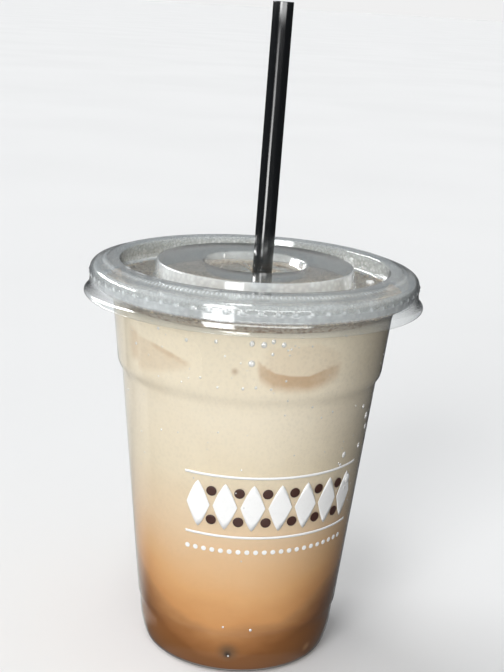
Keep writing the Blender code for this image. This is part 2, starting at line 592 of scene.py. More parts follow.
@dataclass(frozen=True)
class BlackPlastic:
    """Glossy black straw plastic with faint lines along its length."""

    name: str
    colour: Colour
    roughness: float
    gloss: float = 1.0  # a plain plastic's is 0.5
    line_width: float = 0.5 * MM
    line_height: float = 0.03 * MM
    speck_size: float = 1.2 * MM

    def make(self) -> bpy.types.Material:
        """Builds the material.

        Returns:
            The material.
        """
        material, graph = new_material(self.name)
        lines = graph.noise(self.line_width, 2.0, 0.5, (1.0, 1.0, 0.02))
        specks = graph.span(graph.noise(self.speck_size, 2.0, 0.6), 0.62, 0.75)
        colour = graph.blend(specks, self.colour, tuple(c * 2.5 for c in self.colour))
        settings = {
            "Base Color": colour,
            "Roughness": graph.math("MULTIPLY_ADD", lines, 0.08, self.roughness - 0.04),
            "Specular IOR Level": self.gloss,
            "Normal": graph.bump(lines, self.line_height, 0.5),
        }
        graph.finish(graph.node("ShaderNodeBsdfPrincipled", settings))
        return material


@dataclass(frozen=True)
class Spot:
    """A small dark blur near the drink's face."""

    place: tuple[float, float, float]
    radius: float
    colour: Colour
    depth: float  # how much of its colour shows in the middle

    def over(self, graph: Graph, before: Socket) -> Socket:
        """Adds the blur to a colour.

        Args:
            graph: the material's nodes.
            before: the colour so far.

        Returns:
            The new colour's socket.
        """
        inputs = {0: graph.place(), 1: self.place}
        away = graph.node("ShaderNodeVectorMath", inputs, operation="DISTANCE").outputs["Value"]
        return graph.blend(graph.span(away, 0.0, self.radius, self.depth, 0.0), before, self.colour)


@dataclass(frozen=True)
class Latte:
    """Milky coffee: brown at the foot, orange tan above it, cream at the top, unevenly mixed, with painted
    shade that lifts the brown at the sides.
    """

    name: str
    top: float  # the height that the last stop stands for
    stops: tuple[tuple[float, Colour], ...]
    painted_lit_side: float  # azimuth where the pale milk reaches lowest, where the painted shade of the sides is least
    rise: float  # how much higher the brown reaches on the other sides, as painted shade
    swirl_size: float = 22.0 * MM
    swirl_height: float = 14.0 * MM  # from the lowest to the highest that swirls move a colour
    swirl_band: tuple[float, float] = (14.0 * MM, 62.0 * MM)  # over these heights rise and swirls fade out
    side_reach: float = 35.0 * MM  # distance from the axis, towards that side, where the painted shade is gone
    cloud: Colour = tone(214, 190, 152)
    cloud_size: float = 16.0 * MM
    cloud_share: float = 0.1
    cloud_band: tuple[float, float] = (20.0 * MM, 60.0 * MM)  # over these heights clouds come in
    spots: tuple[Spot, ...] = ()
    roughness: float = 0.45
    gloss: float = 0.1

    def colour(self, graph: Graph) -> Socket:
        """Adds the coffee's colour to a material's nodes.

        Args:
            graph: the material's nodes.

        Returns:
            The colour's socket.
        """
        x, y, z = graph.axes(graph.place())
        # Painted shade: the brown is lifted higher the further a point is from the front side, darkening the
        # cup's sides.
        turn = math.radians(self.painted_lit_side)
        across = graph.math("MULTIPLY", x, math.sin(turn) / self.side_reach)
        towards = graph.math("MULTIPLY_ADD", y, -math.cos(turn) / self.side_reach, across)
        lift = graph.span(towards, 0.25, 1.0, self.rise, 0.0)
        swirls = graph.noise(self.swirl_size, 3.0, 0.55, (1, 1, 1.8))
        swirl = graph.math("MULTIPLY_ADD", swirls, self.swirl_height, -self.swirl_height / 2)
        low = graph.span(z, *self.swirl_band, 1.0, 0.0)
        height = graph.math("SUBTRACT", z, graph.math("MULTIPLY", graph.math("ADD", lift, swirl), low))
        share = graph.math("DIVIDE", height, self.top, clamp=True)
        colour = graph.ramp(share, [(at / self.top, c) for at, c in self.stops])
        high = graph.span(z, *self.cloud_band, 0.0, self.cloud_share)
        cloud = graph.math("MULTIPLY", graph.span(graph.noise(self.cloud_size, 3.0, 0.6), 0.4, 0.75), high)
        colour = graph.blend(cloud, colour, self.cloud)
        for spot in self.spots:
            colour = spot.over(graph, colour)
        return colour

    def make(self) -> bpy.types.Material:
        """Builds the material.

        Returns:
            The material.
        """
        material, graph = new_material(self.name)
        settings = {
            "Base Color": self.colour(graph),
            "Roughness": self.roughness,
            "Specular IOR Level": self.gloss,
        }
        graph.finish(graph.node("ShaderNodeBsdfPrincipled", settings))
        return material


@dataclass(frozen=True)
class Bubbly:
    """Brown coffee froth: bubbles of many sizes, pale where light catches their skins."""

    name: str
    dark: Colour
    pale: Colour
    skin: Colour = tone(226, 208, 180)
    bubble: float = 1.3 * MM
    fine_bubble: float = 0.6 * MM
    patch_size: float = 5.0 * MM
    relief: float = 0.5 * MM

    def make(self) -> bpy.types.Material:
        """Builds the material.

        Returns:
            The material.
        """
        material, graph = new_material(self.name)
        cells = graph.cells(self.bubble)
        fine = graph.cells(self.fine_bubble)
        skins = graph.math("MULTIPLY", graph.span(cells, 0.1, 0.7), graph.span(fine, 0.1, 0.8, 0.5, 1.0))
        patch = graph.span(graph.noise(self.patch_size, 3.0, 0.6), 0.35, 0.7, -0.3, 0.35)
        share = graph.math("ADD", skins, patch, clamp=True)
        colour = graph.ramp(share, [(0.0, self.dark), (0.75, self.pale), (1.0, self.skin)])
        settings = {
            "Base Color": colour,
            "Roughness": 0.3,
            "Normal": graph.bump(graph.math("ADD", cells, fine), self.relief, 0.8),
        }
        graph.finish(graph.node("ShaderNodeBsdfPrincipled", settings))
        return material


@dataclass(frozen=True)
class MilkyIce:
    """Ice seen through milky coffee: it looks like the coffee but for the shadow that its mesh carries."""

    name: str
    milk: Latte
    shadow: Colour
    grain: float = 3.0 * MM

    def make(self) -> bpy.types.Material:
        """Builds the material.

        Returns:
            The material.
        """
        material, graph = new_material(self.name)
        uneven = graph.math("MULTIPLY_ADD", graph.noise(self.grain, 2.0, 0.5), 0.5, 0.75)
        shade = graph.math("MULTIPLY", graph.attribute(SHADE), uneven, clamp=True)
        colour = graph.blend(shade, self.milk.colour(graph), self.shadow)
        settings = {
            "Base Color": colour,
            "Roughness": self.milk.roughness,
            "Specular IOR Level": self.milk.gloss,
        }
        graph.finish(graph.node("ShaderNodeBsdfPrincipled", settings))
        return material


@dataclass(frozen=True)
class Water:
    """Drops of condensed water: clear, bright at their edges, with a sharp highlight, and a pale share that
    is painted light.
    """

    name: str
    body: float  # how much of a drop is pale rather than clear: painted light that makes the drops bright
    grain: float = 1.5 * MM

    def make(self) -> bpy.types.Material:
        """Builds the material.

        Returns:
            The material.
        """
        material, graph = new_material(self.name)
        through = graph.node("ShaderNodeBsdfTransparent", {"Color": (0.98, 0.98, 0.98, 1.0)})
        # Painted light: a pale diffuse share that makes the drops bright, in place of the light that clear
        # water gathers.
        pale = graph.node("ShaderNodeBsdfDiffuse", {"Color": (0.97, 0.97, 0.96, 1.0)})
        uneven = graph.math("MULTIPLY_ADD", graph.noise(self.grain), 0.3, self.body - 0.15, clamp=True)
        mirror = graph.node("ShaderNodeBsdfGlossy", {"Color": (1.0, 1.0, 1.0, 1.0), "Roughness": 0.03})
        graph.finish(graph.mix(graph.mirrored(0.08), graph.mix(uneven, through, pale), mirror))
        return material


@dataclass(frozen=True)
class Ink:
    """Thick printed ink with a slightly uneven skin."""

    name: str
    colour: Colour
    wear_size: float = 0.9 * MM
    sheen_size: float = 2.5 * MM
    grain: float = 0.7 * MM
    grain_height: float = 0.04 * MM

    def make(self) -> bpy.types.Material:
        """Builds the material.

        Returns:
            The material.
        """
        material, graph = new_material(self.name)
        worn = graph.span(graph.noise(self.wear_size, 3.0, 0.6), 0.45, 0.8, 0.0, 0.16)
        colour = graph.blend(worn, self.colour, tuple(0.75 * c + 0.03 for c in self.colour))
        settings = {
            "Base Color": colour,
            "Roughness": graph.span(graph.noise(self.sheen_size), 0.3, 0.7, 0.3, 0.5),
            "Normal": graph.bump(graph.noise(self.grain, 3.0, 0.6), self.grain_height, 0.6),
        }
        graph.finish(graph.node("ShaderNodeBsdfPrincipled", settings))
        return material


@dataclass
class Cup:
    """The clear cup: a thin sheet turned about Z, sizes on its outer face."""

    sheet: float = 0.5 * MM
    punt_height: float = 2.4 * MM
    punt_dome: float = 0.5 * MM
    punt_radius: float = 24.4 * MM
    gate_radius: float = 1.6 * MM  # the small round mark at the base's centre
    gate_drop: float = 0.5 * MM
    foot_inner: float = 25.6 * MM
    foot_outer: float = 27.5 * MM
    heel_radius: float = 30.9 * MM
    heel_height: float = 11.5 * MM
    ring_height: float = 15.0 * MM
    ring_radius: float = 31.6 * MM
    taper: float = 0.101
    step_height: float = 89.4 * MM
    step_rise: float = 2.8 * MM
    step_width: float = 1.2 * MM
    neck_height: float = 108.2 * MM
    flare_bend: float = 112.6 * MM
    flare_height: float = 114.3 * MM
    flare_radius: float = 47.3 * MM
    rim_foot: float = 115.2 * MM
    rim_skirt: float = 115.8 * MM
    rim_roll: float = 0.85 * MM
    rim_radius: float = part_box("cup")[1].x
    rim_top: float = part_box("cup")[1].z
    # heights, rising, and the share of the sheet that mist covers there
    mist: tuple[Point, ...] = (
        (0.0, 0.0),
        (30.0 * MM, 0.01),
        (60.0 * MM, 0.05),
        (110.0 * MM, 0.05),
        (114.6 * MM, 0.08),
        (115.3 * MM, 0.58),
        (118.6 * MM, 0.58),
        (120.3 * MM, 0.3),
    )
    # how far up and down light evens the wall
    light_reaches: tuple[float, ...] = (1.2 * MM, 2.4 * MM, 3.6 * MM)
    steps: int = 256

    def floor(self) -> float:
        """The height of the inner floor at the axis."""
        return self.punt_height + self.punt_dome + self.sheet

    def neck_radius(self, height: float) -> float:
        """The outer radius above the step, at a height."""
        low = self.ring_radius + self.taper * (self.step_height - self.ring_height) + self.step_width
        return low + self.taper * (height - self.step_height)

    def outer_line(self) -> Line:
        """The outer face from the base's centre to the end of the rolled rim.

        Returns:
            The line, rising.
        """
        gate = self.punt_height + self.punt_dome
        step_low = self.ring_radius + self.taper * (self.step_height - self.ring_height)
        step_top = self.step_height + self.step_rise
        base = softened([
            (0.0, gate - self.gate_drop, 0),
            (self.gate_radius, gate - self.gate_drop, 0.3 * MM),
            (self.gate_radius + 0.3 * MM, gate, 0.1 * MM),
            (self.punt_radius, self.punt_height, 0.6 * MM),
            (self.foot_inner, 0.0, 0.5 * MM),
            (self.foot_outer, 0.0, 0.7 * MM),
            (self.foot_outer + 1.2 * MM, 0.9 * MM, 0.8 * MM),
            (self.foot_outer + 2.1 * MM, 3.4 * MM, 1.6 * MM),
            (self.heel_radius - 0.4 * MM, 7.2 * MM, 1.8 * MM),
            (self.heel_radius, self.heel_height, 1.5 * MM),
            (self.heel_radius + 0.1 * MM, self.ring_height - 0.8 * MM, 1.0 * MM),
            (self.ring_radius, self.ring_height, 1.0 * MM),
            (step_low, self.step_height - 0.2 * MM, 1.8 * MM),
            (step_low + self.step_width, self.step_height + 1.3 * MM, 0.9 * MM),
            (self.neck_radius(step_top), step_top, 0.8 * MM),
            (self.neck_radius(self.neck_height), self.neck_height, 0),
        ])
        corner = (self.neck_radius(self.flare_bend), self.flare_bend)
        flare = bend(base[-1], corner, (self.flare_radius, self.flare_height), 12)
        roll = (self.rim_radius - self.rim_roll, self.rim_top - self.rim_roll)
        hollow = self.rim_roll - self.sheet
        start = roll[0] - hollow
        collar = bend(flare[-1], (start, self.flare_height + 0.25 * MM), (start, self.rim_foot), 4)
        rim = arc(roll, hollow, 180, 0, 10) + [(roll[0] + hollow, self.rim_skirt)]
        return base[:-1] + flare[:-1] + collar + rim

    def wall_radius(self, height: float | np.ndarray) -> float | np.ndarray:
        """The outer face's radius at a height between the foot and the rim."""
        line = upto(self.outer_line(), 0.2 * MM, self.rim_foot)
        return np.interp(height, [z for _, z in line], [x for x, _ in line])

    def even_normals(self, ob: bpy.types.Object, at_wall: np.ndarray) -> None:
        """Gives points at the wall the normals of an evened wall, because milk spreads the light inside it.

        Args:
            ob: the cup or a piece of its filling.
            at_wall: for each vertex, whether it lies at the wall.
        """
        places = np.array([vertex.co[:] for vertex in ob.data.vertices])
        normals = np.array([vertex.normal[:] for vertex in ob.data.vertices])
        z = places[:, 2]
        slopes = [(self.wall_radius(z + r) - self.wall_radius(z - r)) / (2 * r) for r in self.light_reaches]
        away = np.maximum(np.hypot(places[:, 0], places[:, 1]), AXIS)
        evened = np.stack([places[:, 0] / away, places[:, 1] / away, -np.mean(slopes, 0)], 1)
        evened /= np.linalg.norm(evened, axis=1, keepdims=True)
        evened *= np.sign((evened * normals).sum(1, keepdims=True))
        normals[at_wall] = evened[at_wall]
        ob.data.normals_split_custom_set_from_vertices(normals.tolist())

    def build(self, finish: ClearPlastic) -> bpy.types.Object:
        """Makes the cup.

        Args:
            finish: the cup's plastic.

        Returns:
            The cup.
        """
        outer = self.outer_line()
        line = offset(outer, self.sheet) + outer[::-1]
        heights, shares = zip(*self.mist)
        mist = np.interp([z for _, z in line], heights, shares).tolist()
        shell = Lathe([Band(line, self.steps, mist=mist)]).turn("cup_shell")
        levels = np.array([vertex.co.z for vertex in shell.data.vertices])
        self.even_normals(shell, (levels > self.heel_height) & (levels < self.neck_height))
        return add_piece(shell, finish.make(), "cup")


@dataclass
class Straw:
    """The black straw. It stands on the cup's floor at the axis and leans a little towards +X."""

    radius: float = 3.0 * MM
    sheet: float = 0.4 * MM
    lean: float = math.radians(1.07)
    length: float = 194.6 * MM
    foot: float = 0.4 * MM
    way: tuple[float, float] = (-10.0 * MM, 130.0 * MM)  # from where to where the rod that cuts its way runs
    edge: float = 0.12 * MM  # the softness of its ends' edges
    rows: int = 24
    steps: int = 64

    def rod(self, name: str, radius: float, floor: float) -> bpy.types.Object:
        """A closed rod along the straw, to cut other pieces with.

        Args:
            name: the rod's name.
            radius: its radius.
            floor: the height of the cup's inner floor.

        Returns:
            The rod.
        """
        low, high = self.way
        rod = Lathe([Band([(0.0, high), (radius, high), (radius, low), (0.0, low)], self.steps)]).turn(name)
        self.stand(rod, floor)
        return rod

    def stand(self, ob: bpy.types.Object, floor: float) -> None:
        """Turns a mesh made about Z onto the straw's axis, the cup's inner floor being at height floor."""
        ob.data.transform(Matrix.Translation((0.0, 0.0, floor)) @ Matrix.Rotation(self.lean, 4, "Y"))

    def build(self, finish: BlackPlastic, floor: float) -> bpy.types.Object:
        """Makes the straw.

        Args:
            finish: the straw's plastic.
            floor: the height of the cup's inner floor.

        Returns:
            The straw.
        """
        low, high = self.foot, self.foot + self.length
        inner = self.radius - self.sheet
        soft = self.edge
        rows = [low + (high - low) * i / self.rows for i in range(1, self.rows)]
        line = [(inner, z) for z in rows]
        line += softened([
            (inner, rows[-1], 0),
            (inner, high, soft),
            (self.radius, high, soft),
            (self.radius, rows[-1], 0),
        ])[1:]
        line += [(self.radius, z) for z in rows[::-1][1:]]
        line += softened([
            (self.radius, rows[0], 0),
            (self.radius, low, soft),
            (inner, low, soft),
            (inner, rows[0], 0),
        ])[1:-1]
        straw = Lathe([Band(line, self.steps)]).turn("straw_tube")
        self.stand(straw, floor)
        return add_piece(straw, finish.make(), "straw")


@dataclass
class Lid:
    """The flat lid: a recess for the straw in a raised disc, a deep channel, and a bead over the rim."""

    sheet: float = 0.4 * MM
    recess_floor: float = 119.1 * MM
    recess_radius: float = 15.6 * MM
    plateau_radius: float = 29.75 * MM
    channel_floor: float = 116.7 * MM
    channel_outer: float = 40.6 * MM
    channel_draft: float = 0.8 * MM
    edge: float = 0.55 * MM  # the softness of the edges of recess, plateau and channel
    shoulder_radius: float = 44.2 * MM
    crest_radius: float = 46.3 * MM
    crest_height: float = 121.3 * MM
    bead_radius: float = 49.6 * MM
    bead_rounding: float = 2.4 * MM
    bead_foot: float = 116.0 * MM
    top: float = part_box("lid")[1].z
    lip_radius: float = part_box("lid")[1].x
    lip_height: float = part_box("lid")[0].z
    ribs: int = 228  # fine ribs on the slope outside the shoulder
    rib_height: float = 0.352 * MM
    lugs: int = 66  # short upright ribs on the bead's wall
    lug_height: float = 0.32 * MM
    lug_band: tuple[float, float] = (117.4 * MM, 118.8 * MM)
    lug_ends: tuple[float, float] = (0.5 * MM, 0.4 * MM)  # how long the lower and the upper end of a lug are
    # how much more mist ribs and lugs carry for each metre that they stand out
    rib_mist: float = 1.1 / MM
    lug_mist: float = 1.8 / MM
    straw_gap: float = 0.3 * MM  # between the straw and the hole's edge
    slit_length: float = 19.0 * MM
    slit_width: float = 0.6 * MM
    slit_depth: float = 4.0 * MM
    slit_turn: float = math.radians(12.0)
    # radius on the upper face up to the crest, and the share of the sheet that mist covers there
    top_mist: tuple[Point, ...] = (
        (14.5 * MM, 0.05), (14.9 * MM, 0.25), (15.6 * MM, 0.25), (16.2 * MM, 0.05), (29.2 * MM, 0.06),
        (29.6 * MM, 0.46), (30.4 * MM, 0.46), (31.0 * MM, 0.03), (39.5 * MM, 0.03), (39.9 * MM, 0.05),
        (40.5 * MM, 0.06), (41.0 * MM, 0.18), (43.6 * MM, 0.18), (44.2 * MM, 0.08), (45.0 * MM, 0.12),
        (46.0 * MM, 0.1), (46.5 * MM, 0.2),
    )
    # height on the outer face beyond the crest, and the same share
    side_mist: tuple[Point, ...] = (
        (113.8 * MM, 0.03), (115.2 * MM, 0.05), (115.8 * MM, 0.42), (117.7 * MM, 0.42), (118.3 * MM, 0.2),
        (121.3 * MM, 0.18),
    )
    steps: int = 192

    def inner_line(self) -> Line:
        """The upper face from the axis to the shoulder.

        Returns:
            The line, running outwards.
        """
        soft = self.edge
        return softened([
            (0.0, self.recess_floor, 0),
            (self.recess_radius - 0.9 * MM, self.recess_floor, 0.6 * MM),
            (self.recess_radius + 0.1 * MM, self.top, soft),
            (self.plateau_radius - 0.05 * MM, self.top, soft),
            (self.plateau_radius + self.channel_draft, self.channel_floor, soft),
            (self.channel_outer - self.channel_draft, self.channel_floor, soft),
            (self.channel_outer, self.top, soft),
            (self.shoulder_radius - 0.3 * MM, self.top, 0),
        ])

    def slope_line(self) -> Line:
        """The ribbed slope between shoulder and crest.

        Returns:
            The line, running outwards.
        """
        start, end = (self.shoulder_radius, self.top), (self.crest_radius, self.crest_height)
        return [tuple(a + (b - a) * i / 6 for a, b in zip(start, end)) for i in range(7)]

    def outer_line(self) -> Line:
        """The bead and the skirt, from the crest down to the lip.

        Returns:
            The line, running down.
        """
        middle = (self.bead_radius - self.bead_rounding, self.crest_height - 0.2 * MM - self.bead_rounding)
        bead = [(self.crest_radius + 0.25 * MM, self.crest_height)]
        bead += arc(middle, self.bead_rounding, 90, 0, 10)
        wall = [(self.bead_radius, middle[1] + (self.bead_foot - middle[1]) * i / 12) for i in range(1, 13)]
        corner = (self.bead_radius + 0.1 * MM, self.lip_height + 1.2 * MM)
        skirt = bend(wall[-1], corner, (self.lip_radius - 0.15 * MM, self.lip_height + 0.35 * MM), 10)
        lip = [(self.lip_radius, self.lip_height + 0.2 * MM), (self.lip_radius, self.lip_height)]
        return bead + wall + skirt[1:] + lip

    def rib_relief(self, angle: np.ndarray, height: np.ndarray) -> np.ndarray:
        """How far the slope's ribs stand out.

        Args:
            angle: the points' angles.
            height: the points' heights.

        Returns:
            The outward move of each point.
        """
        share = (self.top - height) / (self.top - self.crest_height)
        fade = np.sin(np.clip(share, 0, 1) * math.pi)
        return self.rib_height * fade * (0.5 + 0.5 * np.cos(angle * self.ribs))

    def lug_relief(self, angle: np.ndarray, height: np.ndarray) -> np.ndarray:
        """How far the lugs stand out of the bead's wall.

        Args:
            angle: the points' angles.
            height: the points' heights.

        Returns:
            The outward move of each point.
        """
        (low, high), (foot, head) = self.lug_band, self.lug_ends
        upright = np.clip((height - low) / foot, 0, 1) * np.clip((high - height) / head, 0, 1)
        around = np.clip(np.cos(angle * self.lugs) * 2.4 - 1.4, 0, 1)
        return self.lug_height * upright * around

    def slit(self, turn: float) -> bpy.types.Object:
        """A thin block for one of the crossed slits.

        Args:
            turn: the slit's angle about Z.

        Returns:
            The block.
        """
        half = np.array([self.slit_length, self.slit_width, self.slit_depth]) / 2
        signs = np.array([[x, y, z] for z in (-1, 1) for y in (-1, 1) for x in (-1, 1)])
        faces = [(0, 2, 3, 1), (4, 5, 7, 6), (0, 1, 5, 4), (2, 6, 7, 3), (0, 4, 6, 2), (1, 3, 7, 5)]
        block = mesh_object("slit", signs * half, faces)
        turned = Matrix.Rotation(turn, 4, "Z")
        block.data.transform(Matrix.Translation((0.0, 0.0, self.recess_floor)) @ turned)
        return block

    def build(self, finish: ClearPlastic, straw: Straw, floor: float) -> bpy.types.Object:
        """Makes the lid.

        Args:
            finish: the lid's plastic.
            straw: the straw that goes through it.
            floor: the height of the cup's inner floor.

        Returns:
            The lid.
        """
        inner, slope, outer = self.inner_line(), self.slope_line(), self.outer_line()
        under = offset(inner + slope + outer, -self.sheet)[::-1]
        on_inner = np.interp([x for x, _ in inner], *zip(*self.top_mist)).tolist()
        on_slope = np.interp([x for x, _ in slope], *zip(*self.top_mist)).tolist()
        on_outer = np.interp([z for _, z in outer], *zip(*self.side_mist)).tolist()
        bands = [
            Band(inner, self.steps, mist=on_inner),
            Band(slope, self.ribs * 4, self.rib_relief, on_slope, self.rib_mist),
            Band(outer, self.lugs * 8, self.lug_relief, on_outer, self.lug_mist),
            Band(under, self.steps, mist=(on_inner + on_slope + on_outer)[::-1]),
        ]
        straw_way = straw.rod("way through lid", straw.radius + self.straw_gap, floor)
        lid = Lathe(bands).turn("lid_shell")
        cut(lid, [straw_way, self.slit(self.slit_turn), self.slit(self.slit_turn + math.pi / 2)])
        return add_piece(lid, finish.make(), "lid")


@dataclass
class Filling:
    """What fills the cup: the milky coffee and the brown froth on it, both reaching just into the wall."""

    into_wall: float = 0.1 * MM
    drink_top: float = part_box("drink")[1].z
    froth_top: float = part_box("froth")[1].z
    froth_bottom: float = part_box("froth")[0].z
    lump_count: int = 260  # how many soft lumps and hollows the froth's top has
    lump_widths: tuple[float, float] = (1.2, 4.0)  # in mm
    lump_heights: tuple[float, float] = (-0.5, 0.45)  # in mm
    lump_low: float = -0.8 * MM  # the deepest that they reach together
    lump_high: float = 0.2 * MM
    bubble_count: int = 900
    bubble_sizes: tuple[float, float] = (0.35 * MM, 1.1 * MM)
    straw_margin: float = 3.0 * MM  # how far bubbles keep from the straw
    near_wall: float = 0.55  # the share of bubbles that lie close to the wall
    wall_crowd: float = 1.2 * MM  # how far from the wall those lie on average
    spread: float = 30.0 * MM  # how far from the wall the others may lie
    lump_seed: int = 7
    bubble_seed: int = 11
    overlap: float = 0.2 * MM  # how far the froth reaches into the drink
    same_level: float = 0.1 * MM  # what counts as part of the froth's top face
    drink_rings: int = 12
    froth_rings: int = 40
    foot_rings: int = 6
    steps: int = 224

    def face(self, cup: Cup) -> Line:
        """The profile of the filling's side, just inside the wall."""
        return offset(cup.outer_line(), cup.sheet - self.into_wall)

    def drink(self, cup: Cup, finish: Latte, straw_way: bpy.types.Object) -> bpy.types.Object:
        """Makes the milky coffee.

        Args:
            cup: the cup that holds it.
            finish: its colours.
            straw_way: the rod that cuts the straw's way.

        Returns:
            The drink.
        """
        side = upto(self.face(cup), -math.inf, self.drink_top)
        top = [(side[-1][0] * i / self.drink_rings, self.drink_top) for i in range(self.drink_rings)]
        drink = Lathe([Band(top + side[::-1], self.steps)]).turn("latte")
        cut(drink, [straw_way])
        heights = np.array([vertex.co.z for vertex in drink.data.vertices])
        radii = np.array([math.hypot(*vertex.co.xy) for vertex in drink.data.vertices])
        at_wall = radii > cup.wall_radius(heights) - cup.sheet
        cup.even_normals(drink, at_wall & (heights > cup.heel_height) & (heights < self.froth_bottom))
        return add_piece(drink, finish.make(), "drink")

    def froth(self, cup: Cup, finish: Bubbly, straw_way: bpy.types.Object) -> bpy.types.Object:
        """Makes the froth, its top uneven.

        Args:
            cup: the cup that holds it.
            finish: its look.
            straw_way: the rod that cuts the straw's way.

        Returns:
            The froth.
        """
        level = self.froth_top - self.lump_high
        side = upto(self.face(cup), self.froth_bottom - self.overlap, level)
        edge = side[-1][0]
        top = [(edge * i / self.froth_rings, level) for i in range(self.froth_rings)]
        bottom = [(side[0][0] * i / self.foot_rings, side[0][1]) for i in range(self.foot_rings)]
        froth = Lathe([Band(top + side[::-1] + bottom[::-1], self.steps)]).turn("froth_layer")
        rng = np.random.default_rng(self.lump_seed)
        places = rng.uniform(-1, 1, (self.lump_count, 2)) * edge
        widths = rng.uniform(*self.lump_widths, self.lump_count) * MM
        heights = rng.uniform(*self.lump_heights, self.lump_count) * MM
        for vertex in froth.data.vertices:
            if vertex.co.z > level - self.same_level:
                away = np.hypot(places[:, 0] - vertex.co.x, places[:, 1] - vertex.co.y)
                move = float((heights * np.exp(-((away / widths) ** 2))).sum())
                vertex.co.z += max(self.lump_low, min(move, self.lump_high))
        cut(froth, [straw_way])
        return add_piece(froth, finish.make(), "froth")

    def bubbles(self, cup: Cup, straw: Straw, finish: Bubbly) -> bpy.types.Object:
        """Makes the loose bubbles on the froth, most of them near the wall.

        Args:
            cup: the cup that holds them.
            straw: the straw that they keep clear of.
            finish: their look.

        Returns:
            All bubbles as one mesh.
        """
        rng = np.random.default_rng(self.bubble_seed)
        edge = float(cup.wall_radius(self.froth_top)) - cup.sheet
        places, sizes = [], []
        while len(sizes) < self.bubble_count:
            size = rng.uniform(*self.bubble_sizes) * rng.uniform(0.6, 1.0)
            near_wall = rng.random() < self.near_wall
            inwards = rng.exponential(self.wall_crowd) if near_wall else rng.uniform(0, self.spread)
            away = edge - size - inwards
            if away < straw.radius + self.straw_margin:
                continue
            angle = rng.uniform(0, 2 * math.pi)
            places.append((away * math.cos(angle), away * math.sin(angle), self.froth_top - 0.25 * size))
            sizes.append((size * 0.75,) * 3)
        bubbles = pebbles("froth_bubbles", np.array(places), np.array(sizes), None)
        return add_piece(bubbles, finish.make())


def pebbles(name: str, places: np.ndarray, sizes: np.ndarray, ways: np.ndarray | None) -> bpy.types.Object:
    """Joins many small rounded bodies into one mesh.

    Args:
        name: the mesh's name.
        places: the centre of each body.
        sizes: the half size of each body along its own three axes.
        ways: each body's three axes as the rows of a matrix, or None to keep them upright.

    Returns:
        The joined object.
    """
    shape = bmesh.new()
    bmesh.ops.create_icosphere(shape, subdivisions=2, radius=1.0)
    ball = np.array([v.co[:] for v in shape.verts])
    faces = np.array([[v.index for v in f.verts] for f in shape.faces])
    shape.free()
    points, joined = [], []
    for i, (place, size) in enumerate(zip(places, sizes)):
        body = ball * size
        if ways is not None:
            body = body @ ways[i]
        joined.append(faces + i * len(ball))
        points.append(body + place)
    return mesh_object(name, np.concatenate(points), np.concatenate(joined))


@dataclass(frozen=True)
class Tint:
    """A soft brown shadow on the cup's wall, between two lines that run round the cup."""

    # azimuth, upper and lower height in mm, and depth from 0 to 1
    rows: tuple[tuple[float, float, float, float], ...]
    soft_above: float
    soft_below: float

    def at(self, azimuth: np.ndarray, height: np.ndarray) -> np.ndarray:
        """How deep the shadow is.

        Args:
            azimuth: the points' azimuths in degrees.
            height: the points' heights.

        Returns:
            The depth at each point, from 0 to 1.
        """
        azimuths, tops, bottoms, depths = (np.array(column) for column in zip(*self.rows))
        top, bottom = (np.interp(azimuth, azimuths, line * MM) for line in (tops, bottoms))
        depth = np.interp(azimuth, azimuths, depths, left=0.0, right=0.0)
        above = np.clip((top - height) / self.soft_above + 0.5, 0, 1)
        below = np.clip((height - bottom) / self.soft_below + 0.5, 0, 1)
        return depth * (above * above * (3 - 2 * above)) * (below * below * (3 - 2 * below))


@dataclass
class IceCube:
    """A rounded ice cube sunk in the drink, one side pressed against the cup's wall."""

    name: str
    azimuth: float  # degrees
    height: float
    half_width: float
    half_height: float
    tints: tuple[Tint, ...]
    half_depth: float = 9.0 * MM
    sunk: float = 0.55  # how far behind the wall its middle is, as a share of half_depth
    squareness: float = 0.62
    press: float = 0.03 * MM  # how far its pressed side stands out of the drink's face
    steps: int = 256

    def build(self, cup: Cup, filling: Filling, finish: MilkyIce) -> bpy.types.Object:
        """Makes the cube.

        Args:
            cup: the cup whose wall it touches.
            filling: the drink that it is sunk in.
            finish: its look.

        Returns:
            The cube, with its shadow as a mesh attribute.
        """
        rise = np.linspace(-math.pi / 2, math.pi / 2, self.steps // 2 + 1)[1:-1]
        turn = np.arange(self.steps) * (2 * math.pi / self.steps)

        def rounded(value: np.ndarray) -> np.ndarray:
            """A sine or cosine flattened towards a box's sides."""
            return np.sign(value) * np.abs(value) ** self.squareness

        across = np.outer(rounded(np.cos(rise)), rounded(np.cos(turn))) * self.half_width
        inwards = np.outer(rounded(np.cos(rise)), rounded(np.sin(turn))) * self.half_depth
        upwards = np.outer(rounded(np.sin(rise)), np.ones(self.steps)) * self.half_height
        azimuth = math.radians(self.azimuth)
        out = float(cup.wall_radius(self.height)) - cup.sheet - self.sunk * self.half_depth + inwards
        x = out * math.sin(azimuth) + across * math.cos(azimuth)
        y = -out * math.cos(azimuth) + across * math.sin(azimuth)
        z = self.height + upwards
        limit = cup.wall_radius(z) - cup.sheet + filling.into_wall + self.press
        scale = np.minimum(limit / np.hypot(x, y), 1.0)
        points = np.stack([x * scale, y * scale, z], -1).reshape(-1, 3)
        faces = [tuple(range(self.steps))]
        for i in range(len(rise) - 1):
            for k in range(self.steps):
                n = (k + 1) % self.steps
                corners = ((i, k), (i + 1, k), (i + 1, n), (i, n))
                faces.append(tuple(r * self.steps + c for r, c in corners))
        faces.append(tuple((len(rise) - 1) * self.steps + k for k in range(self.steps))[::-1])
        cube = mesh_object(self.name, points, faces)
        cup.even_normals(cube, (scale < 1.0).reshape(-1))
        azimuths = np.degrees(np.arctan2(points[:, 0], -points[:, 1]))
        shades = [tint.at(azimuths, points[:, 2]) for tint in self.tints]
        write_values(cube, SHADE, np.max(shades, 0))
        return add_piece(cube, finish.make())


